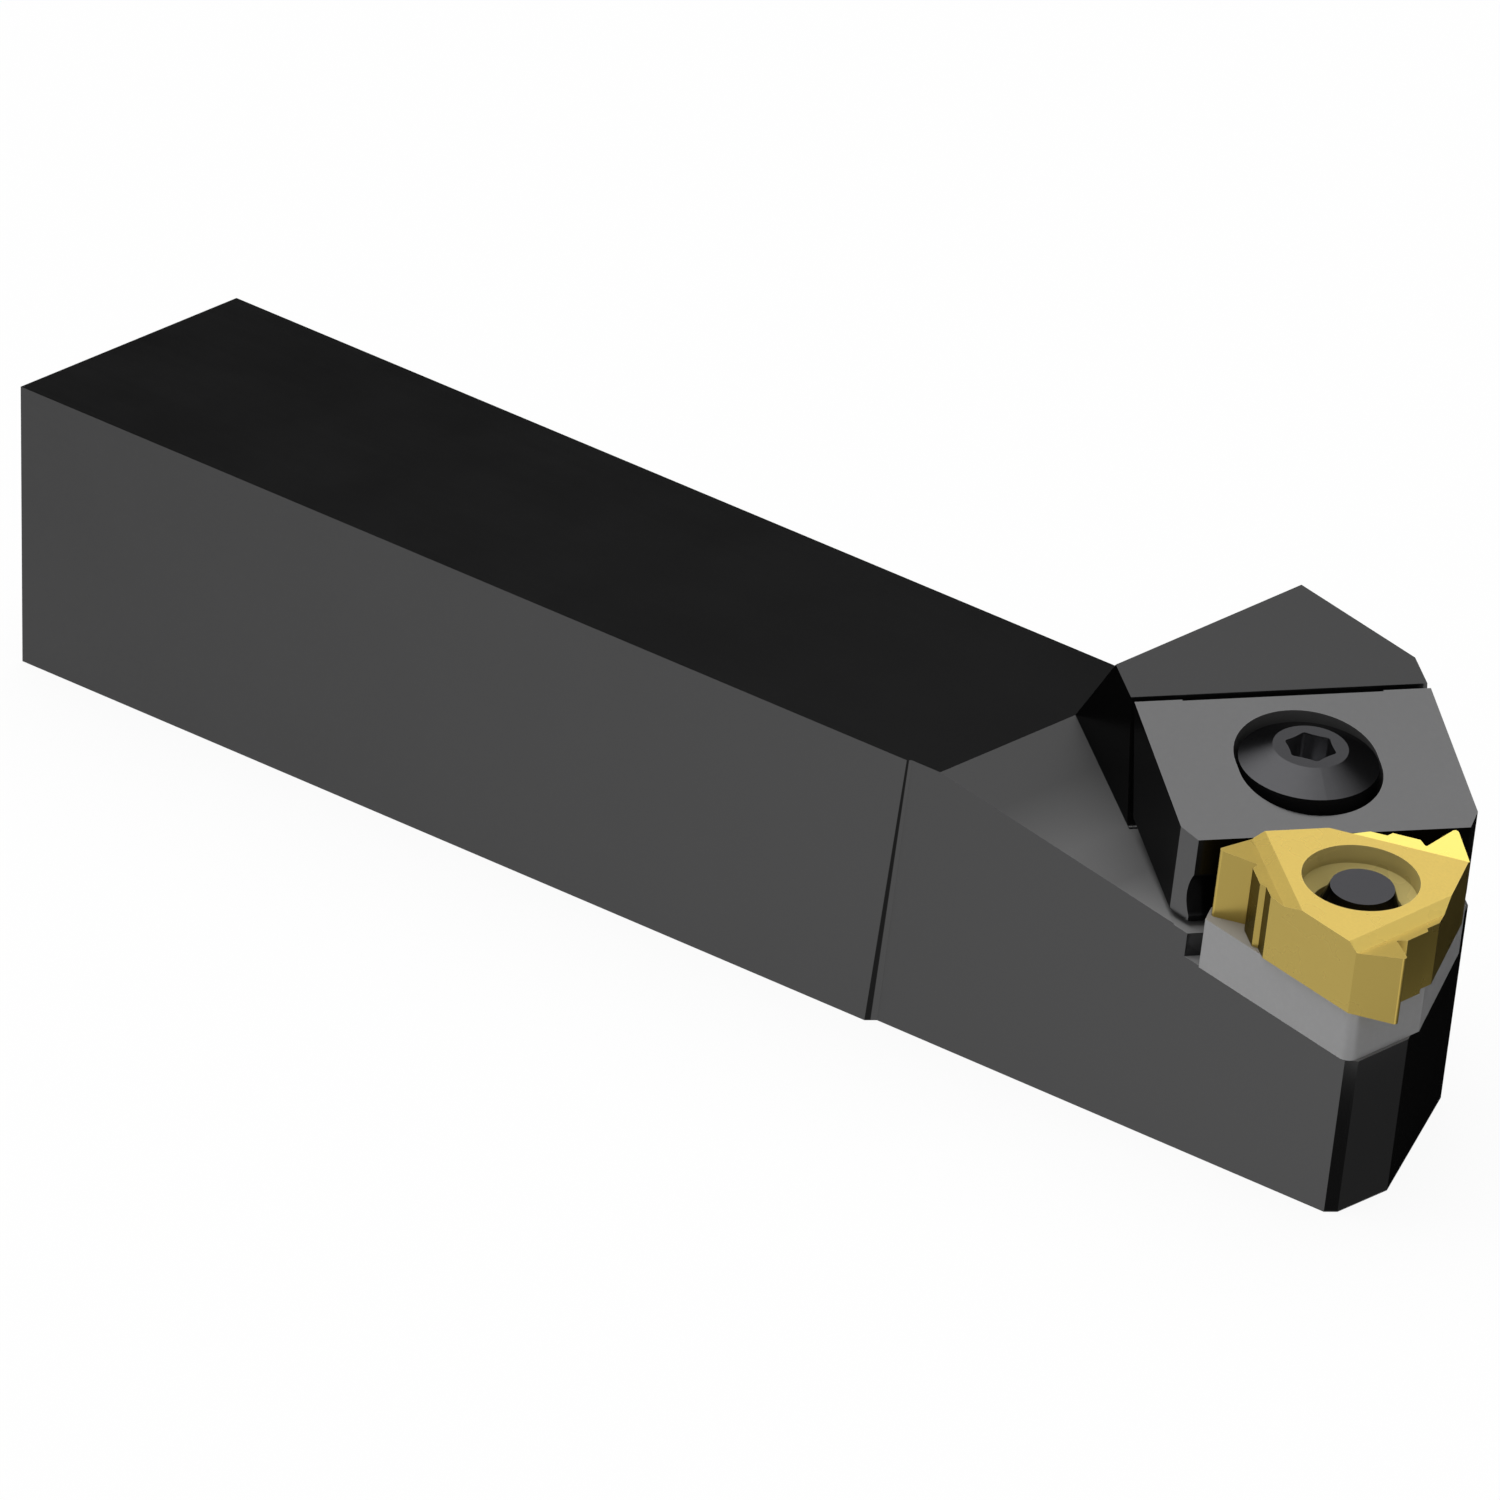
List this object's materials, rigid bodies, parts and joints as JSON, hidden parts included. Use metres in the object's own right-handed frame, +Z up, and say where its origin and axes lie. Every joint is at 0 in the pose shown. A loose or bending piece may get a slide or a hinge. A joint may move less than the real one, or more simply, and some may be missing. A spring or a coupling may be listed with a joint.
{
  "type": "external threading tool holder",
  "caption": "Square-shank lathe tool holder for external threading, with a three-point threading insert held on a shim by a screwed wedge clamp.",
  "frame": {"origin": "on the shank's base, midway along its gripped length and midway across its width", "axes": "+X along the shank towards the cutting end, +Z up out of the shank's top, +Y towards the clamp's side"},
  "size_m": [0.1012, 0.0216, 0.0219],
  "materials": {
    "body_steel": "blackened satin",
    "clamp_steel": "blackened satin",
    "shim_carbide": "ground matt",
    "coated_carbide": "gold hard coating",
    "small_part_steel": "blackened smooth",
    "ring_steel": "spring steel"
  },
  "bodies": {
    "holder": {"holder_body": "body_steel", "shim": "shim_carbide", "threading_insert": "coated_carbide", "insert_pin": "small_part_steel"},
    "wedge": {"wedge_clamp": "clamp_steel"},
    "screw": {"wedge_screw": "small_part_steel", "retaining_ring": "ring_steel"}
  },
  "joints": [
    {"name": "wedge_lift", "type": "slide", "parent": "holder", "child": "wedge", "axis": [0.1736, -0.0172, 0.9847], "range_m": [0, 0.002]},
    {"name": "screw_turn", "type": "hinge", "parent": "wedge", "child": "screw", "pos_m": [0.05448, 0.00188, 0.01182], "axis": [0.1736, -0.0172, 0.9847], "range_deg": [0, 1030]}
  ],
  "couplings": [
    {"joint": "screw_turn", "follows": "wedge_lift", "rad_per_m": 8976}
  ]
}
